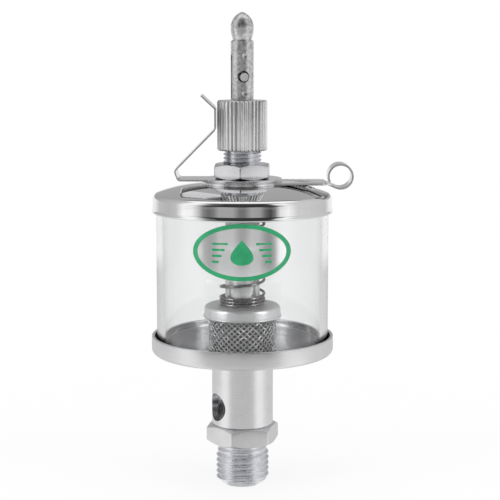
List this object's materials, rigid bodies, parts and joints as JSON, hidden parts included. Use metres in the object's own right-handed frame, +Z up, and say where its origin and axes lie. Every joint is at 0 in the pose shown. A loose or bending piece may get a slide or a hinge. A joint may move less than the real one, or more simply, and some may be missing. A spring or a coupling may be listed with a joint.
{
  "type": "gravity oiler",
  "caption": "Glass gravity drip oiler with needle valve, tip-over lever, fluted adjusting knob, swinging filler cover and threaded sight foot.",
  "frame": {"origin": "centre of the foot hexagon's lower face, which seats on the machine, on the thread's axis", "axes": "+Z up along the oiler's axis; -Y is the front, where the label is; +X is the side of the filler cover"},
  "size_m": [0.0526, 0.0478, 0.1242],
  "materials": {
    "plated_steel": "bright zinc plate",
    "foot_metal": "turned and zinc plated",
    "pan_metal": "satin",
    "lid_chrome": "mirror chrome",
    "strip_steel": "plated spring strip",
    "glass": "clear",
    "gasket": "matte",
    "screen_wire": "woven wire",
    "inner_metal": "turned",
    "spring_wire": "drawn wire",
    "label_foil": "silver foil with a green oval ring"
  },
  "bodies": {
    "reservoir": {"base_body": "foot_metal", "pan": "pan_metal", "pan_seal": "gasket", "lower_gasket": "gasket", "glass_cylinder": "glass", "upper_gasket": "gasket", "lid": "lid_chrome", "centre_tube": "inner_metal", "strainer_screen": "screen_wire", "strainer_cap": "inner_metal", "strainer_spring": "spring_wire", "friction_washer": "plated_steel", "detent_leaf": "strip_steel", "clamp_nut": "plated_steel", "label": "label_foil"},
    "cover": {"filler_cover": "strip_steel"},
    "spring_carriage": {"needle_spring": "spring_wire"},
    "knob": {"adjusting_knob": "plated_steel"},
    "pin": {"pivot_pin": "plated_steel"},
    "lever_arm": {"lever": "plated_steel"},
    "valve": {"needle": "inner_metal", "needle_collar": "inner_metal"}
  },
  "joints": [
    {"name": "cover_swing", "type": "hinge", "parent": "reservoir", "child": "cover", "pos_m": [0, 0, 0.0689], "axis": [0, 0, 1], "continuous": true},
    {"name": "adjust_rise", "type": "slide", "parent": "reservoir", "child": "spring_carriage", "axis": [0, 0, 1], "range_m": [0, 0.002]},
    {"name": "knob_turn", "type": "hinge", "parent": "spring_carriage", "child": "knob", "pos_m": [0, 0, 0.084], "axis": [0, 0, 1], "range_deg": [0, 720]},
    {"name": "lever_swivel", "type": "hinge", "parent": "spring_carriage", "child": "pin", "pos_m": [0, 0, 0.09635], "axis": [0, 0, 1], "continuous": true},
    {"name": "lever_tip", "type": "hinge", "parent": "pin", "child": "lever_arm", "pos_m": [0, 0, 0.09635], "axis": [-0.2079, 0.9781, 0], "range_deg": [0, 90]},
    {"name": "needle_drop", "type": "slide", "parent": "pin", "child": "valve", "axis": [0, 0, -1], "range_m": [0, 0.00275], "deforming": ["needle_spring"]}
  ],
  "couplings": [
    {"joint": "adjust_rise", "follows": "knob_turn", "m_per_rad": 0.00015915},
    {"joint": "needle_drop", "follows": "lever_tip", "m_per_rad": 0.0017507}
  ]
}
